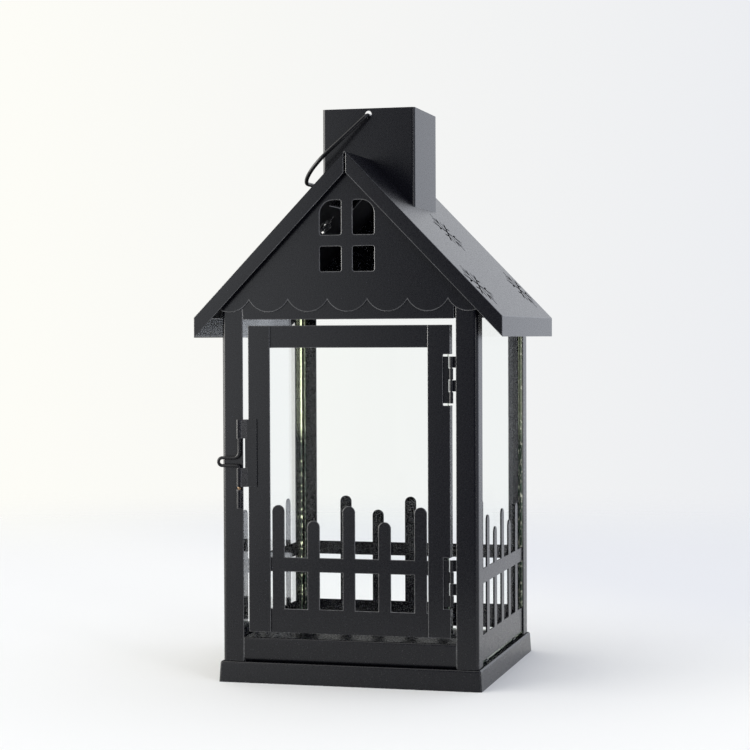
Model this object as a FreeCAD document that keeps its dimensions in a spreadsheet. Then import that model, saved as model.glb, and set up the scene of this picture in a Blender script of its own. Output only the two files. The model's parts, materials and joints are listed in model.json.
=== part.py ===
import FreeCAD, Part
import Sketcher
import math
import os
from types import SimpleNamespace

# House-shaped candle lantern in folded and stamped sheet steel.
# Millimetres and degrees. +Z is up, the door faces -Y, and the origin is the
# centre of the rim that the lantern stands on.

SIZES = {
    # Stock
    "sheet_gauge": 0.8,
    "glass_gauge": 2.0,
    "clip_gauge": 0.6,
    "running_clearance": 0.05,
    "moving_gap": 0.3,
    # Base tray: an upturned pan whose skirt flares a little
    "base_ledge": 1.25,
    "base_flare": 0.6,
    "base_height": 10.5,
    "base_bend": 1.2,
    # Corner posts: folded angles
    "body_width": 131.3,
    "post_flange": 11.0,
    "post_height": 184.0,
    "post_fold": 0.5,
    # Strips between the posts
    "sill_height": 12.3,
    "header_height": 12.5,
    "wall_header_height": 11.0,
    "header_gap": 0.8,
    "strip_return": 5.0,
    "sill_fold": 1.6,
    "sill_shelf": 20.0,
    "shelf_fold": 0.4,
    # Door frame
    "door_side_gap": 2.8,
    "door_sill_gap": 2.7,
    "door_head_gap": 3.0,
    "stile_width": 11.4,
    "door_return": 4.5,
    "top_rail_height": 11.1,
    "rail_leaf_gap": 0.85,
    "pane_play": 0.6,
    # Picket fence on the door
    "picket_width": 6.4,
    "picket_step": 7.6,
    "door_picket_margin": 0.7,
    "door_rail_height": 12.0,
    "door_mid_rail_rise": 30.6,
    "door_mid_rail_height": 7.2,
    "door_tall_picket": 63.9,
    # Picket fences on the other three walls
    "wall_fence_gap": 2.2,
    "wall_picket_margin": 14.05,
    "wall_rail_height": 12.9,
    "wall_mid_rail_rise": 38.4,
    "wall_mid_rail_height": 7.3,
    "wall_tall_picket": 71.4,
    "fence_lap": 8.0,
    # Wall panes and the clips that hold them
    "pane_corner_gap": 1.0,
    "clip_width": 6.0,
    "clip_rise": 7.0,
    "clip_inset": 25.0,
    "door_clip_reach": 4.4,
    "door_clip_gap": 4.3,
    # Gables: scalloped lower edge and a window of four lights
    "scallop_rise": 3.7,
    "scallop_pitch": 20.4,
    "scallop_depth": 6.0,
    "window_rise": 14.0,
    "light_width": 10.9,
    "lower_light_height": 12.3,
    "upper_light_height": 17.0,
    "mullion": 6.0,
    "transom": 5.8,
    "light_corner": 1.0,
    "light_arch": 6.8,
    # Roof: one folded sheet with eave flanges and end fascias
    "roof_angle": 45.95,
    "roof_lift": 1.1,
    "eave_overhang": 13.15,
    "eave_drop": 10.2,
    "end_overhang": 4.75,
    "ridge_seam": 1.0,
    # Snowflakes punched in the slopes
    "flake_reach": 13.5,
    "flake_slot": 1.3,
    "flake_barb": 5.6,
    "flake_barb_root": 6.2,
    "flake_barb_angle": 42.0,
    "flake_chimney_gap": 3.1,
    "flake_eave_gap": 8.1,
    "flake_end_gap": 1.9,
    # Chimney astride the ridge
    "chimney_width": 48.9,
    "chimney_rise": 25.8,
    "chimney_fold": 0.8,
    "flue_ledge": 2.0,
    "bail_play": 1.5,
    "bail_hole_edge": 1.2,
    # Door hinges
    "hinge_pin": 1.0,
    "knuckle_wall": 0.5,
    "knuckle_height": 5.5,
    "knuckle_post_gap": 1.25,
    "knuckle_leaf_gap": 0.65,
    "hinge_inset": 15.5,
    "leaf_gauge": 0.8,
    "post_leaf_width": 6.5,
    "door_leaf_width": 6.0,
    "notch_gap": 1.1,
    "notch_width": 3.6,
    # Latch: a hairpin bolt in two sleeves on the door and a keeper on the post
    "bolt_wire": 1.6,
    "sleeve_wall": 0.6,
    "sleeve_height": 9.5,
    "sleeve_spread": 24.3,
    "latch_rise": 89.7,
    "latch_plate_width": 4.6,
    "latch_plate_overhang": 1.5,
    "sleeve_neck": 2.4,
    "keeper_gap": 1.4,
    "keeper_height": 9.4,
    "keeper_foot": 2.0,
    "bolt_reach": 5.0,
    "bolt_top_inset": 0.8,
    "handle_reach": 10.9,
    "handle_spread": 3.9,
    "handle_bend": 1.3,
    "handle_crook": 3.0,
    # Bail: one bent wire through the chimney
    "bail_wire": 2.1,
    "bail_height": 48.6,
    "bail_splay": 12.45,
    "bail_corner": 18.0,
    "bail_ear": 2.6,
    "bail_tail": 4.0,
    "bail_rest_angle": 44.0,
}

PICKETS = 5
FLAKE_ARMS = 6
KNUCKLES = 4
WALL_TURNS = {"front": 0, "right": 90, "back": 180, "left": 270}
GLAZED_WALLS = ("right", "back", "left")
OVERCUT = 1.0

doc = FreeCAD.newDocument("candle_lantern")
sheet = doc.addObject("Spreadsheet::Sheet", "Sizes")
for row, (alias, number) in enumerate(SIZES.items(), start=1):
    sheet.set("A%d" % row, alias)
    sheet.set("B%d" % row, str(number))
    sheet.setAlias("B%d" % row, alias)
doc.recompute()


class Size:
    """A length or angle: its number, and the expression that ties it to the sheet."""

    def __init__(self, value, text):
        self.value = value
        self.text = text

    def __add__(self, other):
        other = as_size(other)
        return Size(self.value + other.value, "(%s + %s)" % (self.text, other.text))

    def __sub__(self, other):
        other = as_size(other)
        return Size(self.value - other.value, "(%s - %s)" % (self.text, other.text))

    def __mul__(self, other):
        other = as_size(other)
        return Size(self.value * other.value, "(%s * %s)" % (self.text, other.text))

    def __truediv__(self, other):
        other = as_size(other)
        return Size(self.value / other.value, "(%s / %s)" % (self.text, other.text))

    def __neg__(self):
        return Size(-self.value, "(-1 * %s)" % self.text)

    __radd__ = __add__
    __rmul__ = __mul__


def as_size(number):
    """A plain number as a Size, and a Size as it is."""
    if isinstance(number, Size):
        return number
    return Size(float(number), repr(float(number)))


def tangent(angle):
    return Size(math.tan(math.radians(angle.value)), "tan(%s)" % angle.text)


def arctangent(ratio):
    return Size(math.degrees(math.atan(ratio.value)), "atan(%s)" % ratio.text)


def cosine(angle):
    return Size(math.cos(math.radians(angle.value)), "cos(%s)" % angle.text)


S = SimpleNamespace(**{alias: Size(sheet.get(alias), "Sizes." + alias) for alias in SIZES})
ZERO = as_size(0)

# Planes that the pieces share
half = S.body_width / 2
front = -half
base_top = S.base_height
base_width = S.body_width + 2 * (S.base_ledge + S.base_flare)
post_top = base_top + S.post_height
sill_top = base_top + S.sill_height
header_bottom = post_top - S.header_height
door_bottom = sill_top + S.door_sill_gap
door_top = header_bottom - S.door_head_gap
frame_half = half - S.post_flange
knuckle_radius = S.hinge_pin / 2 + S.knuckle_wall
door_half = frame_half - S.door_side_gap
stile_inner = door_half - S.stile_width
hinge_x = frame_half - S.knuckle_post_gap - knuckle_radius
leaf_edge = hinge_x - knuckle_radius - S.knuckle_leaf_gap
rail_half = leaf_edge - S.door_leaf_width - S.rail_leaf_gap
door_back = front + S.sheet_gauge
rail_back = door_back + S.sheet_gauge
door_glass_back = rail_back + S.glass_gauge
pane_half = half - 2 * S.sheet_gauge - S.glass_gauge - S.pane_corner_gap

slope_fall = tangent(S.roof_angle)
sheet_rise = S.sheet_gauge / cosine(S.roof_angle)
ridge_under = post_top + S.roof_lift + half * slope_fall
ridge = ridge_under + sheet_rise
eave_half = half + S.eave_overhang
eave_top = ridge - eave_half * slope_fall
eave_bottom = eave_top - S.eave_drop
roof_length = S.body_width + 2 * S.end_overhang

chimney_half = S.chimney_width / 2
chimney_top = ridge + S.chimney_rise
bail_hole_radius = (S.bail_wire + S.bail_play) / 2
bail_hole_z = chimney_top - S.bail_hole_edge - bail_hole_radius
bail_axis_z = bail_hole_z - S.bail_play / 2 + S.running_clearance

knuckle_step = S.knuckle_height + S.moving_gap
hinge_height = KNUCKLES * S.knuckle_height + (KNUCKLES - 1) * S.moving_gap
lower_hinge = door_bottom + S.hinge_inset + hinge_height / 2
upper_hinge = door_top - S.hinge_inset - hinge_height / 2
notch_half = hinge_height / 2 + S.notch_gap
pin_radius = S.hinge_pin / 2

bolt_bore = S.bolt_wire / 2 + S.running_clearance
sleeve_radius = bolt_bore + S.sleeve_wall
bolt_x = -(frame_half + sleeve_radius)
bolt_y = front - S.moving_gap - sleeve_radius
latch_middle = door_bottom + S.latch_rise

sub_parts = []


def bind(item, prop, size):
    item.setExpression(prop, as_size(size).text)


def move(item, x=ZERO, y=ZERO, z=ZERO):
    """Bind the place of an object to the sheet."""
    for axis, size in zip("xyz", (x, y, z)):
        bind(item, "Placement.Base." + axis, size)
    return item


def turn(item, angle, axis=(0, 0, 1)):
    base = item.Placement.Base
    item.Placement = FreeCAD.Placement(base, FreeCAD.Rotation(FreeCAD.Vector(*axis), angle))
    return item


def sub_part(item, label):
    item.Label = label
    sub_parts.append(item)
    return item


def box(x, y, z):
    """A box between two values on each axis."""
    item = doc.addObject("Part::Box", "block")
    for prop, (low, high) in zip(("Length", "Width", "Height"), (x, y, z)):
        bind(item, prop, as_size(high) - low)
    return move(item, as_size(x[0]), as_size(y[0]), as_size(z[0]))


def upright_rod(x, y, z, radius):
    """A vertical cylinder between two heights."""
    item = doc.addObject("Part::Cylinder", "rod")
    bind(item, "Radius", radius)
    bind(item, "Height", as_size(z[1]) - z[0])
    return move(item, x, y, as_size(z[0]))


def cross_rod(x, y, z, radius):
    """A cylinder along Y between two values of y."""
    item = doc.addObject("Part::Cylinder", "rod")
    bind(item, "Radius", radius)
    bind(item, "Height", as_size(y[1]) - y[0])
    turn(item, -90, (1, 0, 0))
    return move(item, x, as_size(y[0]), z)


def fuse(items):
    item = doc.addObject("Part::MultiFuse", "joined")
    item.Shapes = items
    item.Refine = True
    return item


def cut(base, tools):
    item = doc.addObject("Part::Cut", "trimmed")
    item.Base = base
    item.Tool = tools[0] if len(tools) == 1 else fuse(tools)
    item.Refine = True
    return item


def common(first, second):
    item = doc.addObject("Part::Common", "shared")
    item.Base = first
    item.Tool = second
    return item


def group(items):
    item = doc.addObject("Part::Compound", "group")
    item.Links = items
    return item


def new_body(name):
    return doc.addObject("PartDesign::Body", name)


def outline(body, plane, loops):
    """A sketch on one of the body's own planes, with closed loops of corner points."""
    sketch = body.newObject("Sketcher::SketchObject", "outline")
    support = next(f for f in body.Origin.OriginFeatures if f.Role == plane)
    sketch.AttachmentSupport = [(support, "")]
    sketch.MapMode = "FlatFace"
    for corners in loops:
        first = sketch.GeometryCount
        ends = [FreeCAD.Vector(as_size(u).value, as_size(v).value, 0) for u, v in corners]
        for start, stop in zip(ends, ends[1:] + ends[:1]):
            sketch.addGeometry(Part.LineSegment(start, stop))
        for index, corner in enumerate(corners):
            line = first + index
            after = first + (index + 1) % len(corners)
            sketch.addConstraint(Sketcher.Constraint("Coincident", line, 2, after, 1))
            for kind, size in zip(("DistanceX", "DistanceY"), corner):
                size = as_size(size)
                rule = Sketcher.Constraint(kind, -1, 1, line, 1, size.value)
                number = sketch.addConstraint(rule)
                sketch.setExpression("Constraints[%d]" % number, size.text)
    return sketch


def round_hole(body, plane, centre, radius):
    """A sketch of one circle on one of the body's own planes."""
    sketch = body.newObject("Sketcher::SketchObject", "round_hole")
    support = next(f for f in body.Origin.OriginFeatures if f.Role == plane)
    sketch.AttachmentSupport = [(support, "")]
    sketch.MapMode = "FlatFace"
    middle = FreeCAD.Vector(centre[0].value, centre[1].value, 0)
    sketch.addGeometry(Part.Circle(middle, FreeCAD.Vector(0, 0, 1), radius.value))
    for kind, size in zip(("DistanceX", "DistanceY"), centre):
        number = sketch.addConstraint(Sketcher.Constraint(kind, -1, 1, 0, 3, size.value))
        sketch.setExpression("Constraints[%d]" % number, size.text)
    number = sketch.addConstraint(Sketcher.Constraint("Radius", 0, radius.value))
    sketch.setExpression("Constraints[%d]" % number, radius.text)
    return sketch


def feature(body, kind, sketch, length, side="One side", reverse=False):
    item = body.newObject("PartDesign::" + kind, kind.lower())
    item.Profile = sketch
    item.SideType = side
    item.Reversed = reverse
    bind(item, "Length", length)
    return item


def round_edges(body, base, picks, radius):
    """Fillet the edges of a feature whose middle passes the test."""
    doc.recompute()
    names = ["Edge%d" % (i + 1) for i, e in enumerate(base.Shape.Edges) if picks(middle_of(e))]
    item = body.newObject("PartDesign::Fillet", "bend")
    item.Base = (base, names)
    bind(item, "Radius", radius)
    return item


def middle_of(edge):
    return edge.valueAt((edge.FirstParameter + edge.LastParameter) / 2)


def near(a, b):
    return abs(a - b) < 1e-4


def square(width):
    reach = width / 2
    return [(-reach, -reach), (reach, -reach), (reach, reach), (-reach, reach)]


def on_wall(item, wall, z=ZERO, inset=ZERO):
    """Stand a piece drawn along X, outer face at y = 0, inside one of the four walls."""
    turn(item, WALL_TURNS[wall])
    face = half - inset
    place = {"front": (ZERO, -face), "right": (face, ZERO), "back": (ZERO, face), "left": (-face, ZERO)}
    x, y = place[wall]
    return move(item, x, y, z)


def bent_rod(corners, bends, diameter):
    """A round wire along straight runs that are joined by tangent arcs."""
    points = [FreeCAD.Vector(*c) for c in corners]
    edges = []
    start = points[0]
    for before, corner, after, bend in zip(points, points[1:], points[2:], bends):
        arrive = (corner - before).normalize()
        leave = (after - corner).normalize()
        turned = arrive.getAngle(leave)
        setback = bend * math.tan(turned / 2)
        arc_in = corner - arrive * setback
        arc_out = corner + leave * setback
        inward = (leave - arrive).normalize()
        centre = corner + inward * (bend / math.cos(turned / 2))
        if (arc_in - start).Length > 1e-6:
            edges.append(Part.LineSegment(start, arc_in).toShape())
        edges.append(Part.Arc(arc_in, centre - inward * bend, arc_out).toShape())
        start = arc_out
    edges.append(Part.LineSegment(start, points[-1]).toShape())
    path = Part.Wire(edges)
    run = (points[1] - points[0]).normalize()
    profile = Part.Wire(Part.Circle(points[0], run, diameter / 2).toShape())
    return path.makePipeShell([profile], True, False)


def base_tray():
    """Upturned pan: a flat top, and a skirt that leans out to the rim."""
    body = new_body("tray")
    lean = -arctangent(S.base_flare / S.base_height)
    pan = feature(body, "Pad", outline(body, "XY_Plane", [square(base_width)]), S.base_height)
    bind(pan, "TaperAngle", lean)
    inside = outline(body, "XY_Plane", [square(base_width - 2 * S.sheet_gauge)])
    hollow = feature(body, "Pocket", inside, S.base_height - S.sheet_gauge, reverse=True)
    bind(hollow, "TaperAngle", lean)
    top_edge = (base_width / 2 - S.base_flare).value

    def outside_bend(point):
        on_corner = near(abs(point.x), abs(point.y)) and abs(point.x) > top_edge
        return near(point.z, S.base_height.value) or on_corner

    round_edges(body, hollow, outside_bend, S.base_bend)
    sub_part(body, "base_tray")


def corner_post(label, angle, x, y):
    body = new_body("post")
    flange, gauge = S.post_flange, S.sheet_gauge
    angle_section = [
        (ZERO, ZERO), (flange, ZERO), (flange, gauge),
        (gauge, gauge), (gauge, flange), (ZERO, flange),
    ]
    bar = feature(body, "Pad", outline(body, "XY_Plane", [angle_section]), S.post_height)
    outside = round_edges(body, bar, lambda p: near(p.x, 0) and near(p.y, 0), S.post_fold + gauge)
    round_edges(body, outside, lambda p: near(p.x, gauge.value) and near(p.y, gauge.value), S.post_fold)
    turn(body, angle)
    sub_part(move(body, x, y, base_top), label)


def frame_strip(label, wall, low, high, gap):
    """A strip between two posts, flush with them, whose upper edge is folded inwards."""
    span = (-frame_half, frame_half - gap)
    inner = S.sheet_gauge
    height = high - low
    face = box(span, (ZERO, inner), (ZERO, height))
    fold = box(span, (inner, inner + S.strip_return), (height - S.sheet_gauge, height))
    sub_part(on_wall(fuse([face, fold]), wall, low), label)


def front_sill():
    """The strip under the door: a channel whose upper fold is a level shelf behind the door's foot."""
    body = new_body("sill")
    gauge, depth, height = S.sheet_gauge, S.sheet_gauge + S.strip_return, S.sill_height
    shelf = gauge + S.sill_shelf
    channel = [
        (ZERO, ZERO), (depth, ZERO), (depth, gauge), (gauge, gauge),
        (gauge, height - gauge), (shelf, height - gauge), (shelf, height), (ZERO, height),
    ]
    shape = feature(body, "Pad", outline(body, "YZ_Plane", [channel]), 2 * frame_half, "Symmetric")
    folds = [
        (ZERO, ZERO, S.sill_fold + gauge), (gauge, gauge, S.sill_fold),
        (ZERO, height, S.shelf_fold + gauge), (gauge, height - gauge, S.shelf_fold),
    ]
    for y, z, radius in folds:

        def on_fold(point):
            return near(point.y, y.value) and near(point.z, z.value)

        shape = round_edges(body, shape, on_fold, radius)
    sub_part(on_wall(body, "front", base_top), "front_sill")


def fence(reach, pitch, rail, mid_low, mid_height, tall):
    """A stamped fence: two rails and round-topped pickets, tall and short by turns."""
    skin = (ZERO, S.sheet_gauge)
    width = S.picket_width
    items = [
        box((-reach, reach), skin, (ZERO, rail)),
        box((-reach, reach), skin, (mid_low, mid_low + mid_height)),
    ]
    for index in range(PICKETS):
        x = pitch * (index - PICKETS // 2)
        top = tall - S.picket_step * (index % 2) - width / 2
        items.append(box((x - width / 2, x + width / 2), skin, (ZERO, top)))
        items.append(cross_rod(x, skin, top, width / 2))
    return fuse(items)


def picket_pitch(opening_half, margin):
    """Spacing that puts the outermost pickets a margin inside the opening's edges."""
    return (opening_half - margin - S.picket_width / 2) / (PICKETS // 2)


def wall_fence(wall):
    """A fence that lies against the inner faces of the post flanges."""
    item = fence(
        frame_half + S.fence_lap, picket_pitch(frame_half, S.wall_picket_margin), S.wall_rail_height,
        S.wall_mid_rail_rise, S.wall_mid_rail_height, S.wall_tall_picket,
    )
    on_wall(item, wall, base_top + S.wall_fence_gap, S.sheet_gauge)
    sub_part(item, "fence_" + wall)


def wall_pane(wall):
    outer = 2 * S.sheet_gauge
    foot = base_top + S.clip_gauge
    head = post_top - S.sheet_gauge - 2 * S.clip_gauge
    inner = outer + S.glass_gauge
    body = new_body("pane")
    section = [(-pane_half, outer), (pane_half, outer), (pane_half, inner), (-pane_half, inner)]
    feature(body, "Pad", outline(body, "XY_Plane", [section]), head - foot)
    sub_part(on_wall(body, wall, foot), "glass_" + wall)


def wall_clips():
    """Bent tabs on the base and under the headers that hold the three wall panes."""
    clips = []
    glass_outer = 2 * S.sheet_gauge
    glass_inner = glass_outer + S.glass_gauge
    grip = (glass_inner, glass_inner + S.clip_gauge)
    ceiling = post_top - S.sheet_gauge
    for wall in GLAZED_WALLS:
        for side in (-1, 1):
            middle = (pane_half - S.clip_inset) * side
            span = (middle - S.clip_width / 2, middle + S.clip_width / 2)
            foot = box(span, (glass_outer, glass_inner), (base_top, base_top + S.clip_gauge))
            tab = box(span, grip, (base_top, base_top + S.clip_rise))
            clips.append(on_wall(fuse([foot, tab]), wall))
            cap = box(span, (glass_outer, glass_inner), (ceiling - S.clip_gauge, ceiling))
            hook = box(span, grip, (ceiling - S.clip_rise, ceiling))
            clips.append(on_wall(fuse([cap, hook]), wall))
    sub_part(group(clips), "glass_clips")


def door_stile(label, side, notches):
    edge = door_half * side
    inner_edge = stile_inner * side
    fold_edge = (door_half - S.sheet_gauge) * side
    height = (door_bottom, door_top)
    face_x = (inner_edge, edge) if side > 0 else (edge, inner_edge)
    fold_x = (fold_edge, edge) if side > 0 else (edge, fold_edge)
    stile = fuse([
        box(face_x, (front, door_back), height),
        box(fold_x, (door_back, door_back + S.door_return), height),
    ])
    if notches:
        stile = cut(stile, notches)
    sub_part(stile, label)


def hinge_notch(middle):
    """The gap that the stile leaves for a hinge, right through its folded edge."""
    return box(
        (door_half - S.notch_width, door_half + OVERCUT),
        (front - OVERCUT, door_back + S.door_return + OVERCUT),
        (middle - notch_half, middle + notch_half),
    )


def door_top_rail():
    span = (-rail_half, rail_half)
    face = box(span, (door_back, rail_back), (door_top - S.top_rail_height, door_top))
    fold_end = door_back + S.door_return
    fold = box(span, (rail_back, fold_end), (door_top - S.sheet_gauge, door_top))
    sub_part(fuse([face, fold]), "door_top_rail")


def door_fence():
    item = fence(
        rail_half, picket_pitch(stile_inner, S.door_picket_margin), S.door_rail_height,
        S.door_mid_rail_rise, S.door_mid_rail_height, S.door_tall_picket,
    )
    sub_part(move(item, ZERO, door_back, door_bottom), "door_fence")


def door_glass():
    reach = door_half - S.sheet_gauge - S.pane_play
    head = door_top - S.sheet_gauge - S.pane_play
    pane = box((-reach, reach), (rail_back, door_glass_back), (door_bottom + S.pane_play, head))
    sub_part(pane, "door_glass")


def door_clips():
    """Bent tabs on the folded edges of the stiles that hold the door pane."""
    clips = []
    fold_face = door_half - S.sheet_gauge
    foot_y = (door_glass_back, door_back + S.door_return)
    tab_y = (door_glass_back, door_glass_back + S.clip_gauge)
    for side in (-1, 1):
        for hinge_middle, towards in ((lower_hinge, 1), (upper_hinge, -1)):
            middle = hinge_middle + (notch_half + S.door_clip_gap + S.clip_width / 2) * towards
            height = (middle - S.clip_width / 2, middle + S.clip_width / 2)
            root = fold_face * side
            heel = (fold_face - S.clip_gauge) * side
            toe = (fold_face - S.door_clip_reach) * side
            foot_x = (heel, root) if side > 0 else (root, heel)
            tab_x = (toe, root) if side > 0 else (root, toe)
            clips.append(fuse([box(foot_x, foot_y, height), box(tab_x, tab_y, height)]))
    sub_part(group(clips), "door_glass_clips")


def hinge(name, middle):
    """Butt hinge of four knuckles: the first and third on the post, the others on the door."""
    low = middle - hinge_height / 2
    high = middle + hinge_height / 2
    levels = []
    for index in range(KNUCKLES):
        top = high - knuckle_step * index
        levels.append((top - S.knuckle_height, top))
    leaf_y = (door_back, door_back + S.leaf_gauge)
    well = (low - OVERCUT, high + OVERCUT)

    post_leaf = [box((frame_half, frame_half + S.post_leaf_width), leaf_y, (low, high))]
    for level in levels[0::2]:
        post_leaf.append(box((hinge_x, frame_half), leaf_y, level))
        post_leaf.append(upright_rod(hinge_x, front, level, knuckle_radius))
    post_bore = upright_rod(hinge_x, front, well, pin_radius)
    sub_part(cut(fuse(post_leaf), [post_bore]), name + "_hinge_post_leaf")

    door_leaf = [box((leaf_edge - S.door_leaf_width, leaf_edge), leaf_y, (low, high))]
    for level in levels[1::2]:
        door_leaf.append(box((leaf_edge, hinge_x), leaf_y, level))
        door_leaf.append(upright_rod(hinge_x, front, level, knuckle_radius))
    door_bore = upright_rod(hinge_x, front, well, pin_radius + S.running_clearance)
    sub_part(cut(fuse(door_leaf), [door_bore]), name + "_hinge_door_leaf")

    sub_part(upright_rod(hinge_x, front, (low, high), pin_radius), name + "_hinge_pin")


def latch_plate():
    """Plate on the door stile with two rolled sleeves that guide the bolt."""
    reach = (S.sleeve_spread + S.sleeve_height) / 2
    low, high = latch_middle - reach, latch_middle + reach
    plate_x = (-door_half - S.latch_plate_overhang, S.latch_plate_width - door_half)
    items = [box(plate_x, (front - S.leaf_gauge, front), (low, high))]
    for level in ((low, low + S.sleeve_height), (high - S.sleeve_height, high)):
        items.append(sleeve_neck(level))
        items.append(upright_rod(bolt_x, bolt_y, level, sleeve_radius))
    bore = upright_rod(bolt_x, bolt_y, (low - OVERCUT, high + OVERCUT), bolt_bore)
    sub_part(cut(fuse(items), [bore]), "latch_plate")
    return low, high


def sleeve_neck(level):
    """The sheet between plate and sleeve, bent forwards from the plate to the sleeve's middle."""
    root = bolt_x + sleeve_radius + S.sleeve_neck
    rim = bolt_y - sleeve_radius / 2
    corners = [
        (root, front - S.leaf_gauge), (root, front - S.moving_gap),
        (bolt_x, bolt_y + S.leaf_gauge), (bolt_x, rim), (bolt_x + sleeve_radius, rim),
    ]
    body = new_body("neck")
    feature(body, "Pad", outline(body, "XY_Plane", [corners]), S.sleeve_height)
    return move(body, ZERO, ZERO, level[0])


def latch_keeper(plate_low):
    """Sleeve on a foot that is welded to the post, below the plate."""
    high = plate_low - S.keeper_gap
    low = high - S.keeper_height
    foot_x = (bolt_x - S.keeper_foot / 2, bolt_x + S.keeper_foot / 2)
    foot = box(foot_x, (bolt_y + bolt_bore + S.running_clearance, front), (low, high))
    sleeve = upright_rod(bolt_x, bolt_y, (low, high), sleeve_radius)
    bore = upright_rod(bolt_x, bolt_y, (low - OVERCUT, high + OVERCUT), bolt_bore)
    sub_part(cut(fuse([foot, sleeve]), [bore]), "latch_keeper")
    return high


def latch_bolt(plate_low, plate_high, keeper_top):
    """Wire bolt with a hairpin handle, drawn where it rests on the lower sleeve."""
    shank = bolt_x.value
    loop = (bolt_x - S.handle_reach).value
    tip = (keeper_top - S.bolt_reach).value
    lower_leg = plate_low + S.sleeve_height + S.moving_gap + S.bolt_wire / 2
    upper_leg = (lower_leg + S.handle_spread).value
    lower_leg = lower_leg.value
    top = (plate_high - S.bolt_top_inset).value
    route = [
        (shank, tip), (shank, lower_leg), (loop, lower_leg),
        (loop, upper_leg), (shank, upper_leg), (shank, top),
    ]
    hairpin = (S.handle_spread / 2).value
    bend, crook = S.handle_bend.value, S.handle_crook.value
    item = doc.addObject("Part::Feature", "bolt")
    corners = [(x, bolt_y.value, z) for x, z in route]
    item.Shape = bent_rod(corners, [bend, hairpin, hairpin, crook], S.bolt_wire.value)
    sub_part(item, "latch_bolt")


def gable(label, angle):
    """End wall with a scalloped lower edge and a window of four lights, drawn for the front."""
    cusp = header_bottom + S.scallop_rise + S.scallop_depth
    skin = (ZERO, S.sheet_gauge)
    shoulder = ridge_under - half * slope_fall
    body = new_body("end_wall")
    corners = [(-half, cusp), (half, cusp), (half, shoulder), (ZERO, ridge_under), (-half, shoulder)]
    feature(body, "Pad", outline(body, "XZ_Plane", [corners]), S.sheet_gauge, reverse=True)

    half_pitch = S.scallop_pitch / 2
    radius = (half_pitch * half_pitch + S.scallop_depth * S.scallop_depth) / (2 * S.scallop_depth)
    lobes = []
    each_side = math.ceil((half / S.scallop_pitch).value - 0.5)
    for index in range(-each_side, each_side + 1):
        centre = cusp - S.scallop_depth + radius
        lobes.append(cross_rod(S.scallop_pitch * index, skin, centre, radius))
    below_cusps = box((-half, half), skin, (cusp - S.scallop_depth, cusp))
    plate = fuse([body, common(fuse(lobes), below_cusps)])

    lights = []
    through = (ZERO - OVERCUT, S.sheet_gauge + OVERCUT)
    sill = cusp + S.window_rise
    upper_sill = sill + S.lower_light_height + S.transom
    for side in (-1, 1):
        near_edge = S.mullion / 2 * side
        far_edge = (S.mullion / 2 + S.light_width) * side
        across = (near_edge, far_edge) if side > 0 else (far_edge, near_edge)
        lower = box(across, through, (sill, sill + S.lower_light_height))
        upper = box(across, through, (upper_sill, upper_sill + S.upper_light_height))
        lights.append(rounded_light(lower, None))
        lights.append(rounded_light(upper, far_edge.value))
    item = cut(plate, lights)
    turn(item, angle)
    place = front - S.sheet_gauge if angle == 0 else half + S.sheet_gauge
    sub_part(move(item, ZERO, place, ZERO), label)


def rounded_light(block, arched_side):
    """A light with small corners, and one large corner where the window's head is arched."""
    doc.recompute()
    top = block.Shape.BoundBox.ZMax
    rounds = []
    for index, edge in enumerate(block.Shape.Edges, start=1):
        point = middle_of(edge)
        if not near(abs(edge.tangentAt(edge.FirstParameter).y), 1):
            continue
        arched = arched_side is not None and near(point.x, arched_side) and near(point.z, top)
        radius = S.light_arch.value if arched else S.light_corner.value
        rounds.append((index, radius, radius))
    item = doc.addObject("Part::Fillet", "light")
    item.Base = block
    item.Edges = rounds
    return item


def roof_shell():
    """Roof in one sheet: two slopes, eave flanges and end fascias, pierced by snowflakes."""
    body = new_body("roof")
    peak_low = ridge - S.eave_drop
    silhouette = [
        (-eave_half, eave_bottom), (-eave_half, eave_top), (ZERO, ridge),
        (eave_half, eave_top), (eave_half, eave_bottom), (ZERO, peak_low),
    ]
    feature(body, "Pad", outline(body, "XZ_Plane", [silhouette]), roof_length, "Symmetric")
    inner = eave_half - S.sheet_gauge
    inner_top = ridge_under - inner * slope_fall
    floor = eave_bottom - OVERCUT
    inside = [(-inner, floor), (-inner, inner_top), (ZERO, ridge_under), (inner, inner_top), (inner, floor)]
    between = roof_length - 2 * S.sheet_gauge
    feature(body, "Pocket", outline(body, "XZ_Plane", [inside]), between, "Symmetric")
    seam = S.ridge_seam / 2
    slit = [(-seam, floor), (seam, floor), (seam, ridge_under), (-seam, ridge_under)]
    feature(body, "Pocket", outline(body, "XZ_Plane", [slit]), roof_length + OVERCUT, "Symmetric")
    flue = S.chimney_width - 2 * (S.sheet_gauge + S.flue_ledge)
    feature(body, "Pocket", outline(body, "XY_Plane", [square(flue)]), ridge + OVERCUT, reverse=True)

    flakes = []
    upper = chimney_half / cosine(S.roof_angle) + S.flake_chimney_gap + S.flake_reach
    lower = eave_half / cosine(S.roof_angle) - S.flake_eave_gap - S.flake_reach
    end_y = roof_length / 2 - S.flake_end_gap - S.flake_reach
    for side in (-1, 1):
        for down, y in ((upper, ZERO), (lower, end_y), (lower, -end_y)):
            flakes.append(snowflake(side, down, y))
    sub_part(cut(body, flakes), "roof_shell")


def snowflake(side, down, y):
    """Punch for one snowflake, square to a slope: six arms, each with two barbs."""
    bars = []
    for index in range(FLAKE_ARMS):
        heading = 360 / FLAKE_ARMS * index
        bars.append(flake_bar(heading, ZERO, heading, S.flake_reach))
        for lean in (-1, 1):
            angle = heading + lean * S.flake_barb_angle.value
            bars.append(flake_bar(heading, S.flake_barb_root, angle, S.flake_barb))
    punch = turn(fuse(bars), S.roof_angle.value * side, (0, 1, 0))
    out = down * cosine(S.roof_angle)
    return move(punch, out * side, y, ridge - out * slope_fall)


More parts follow.
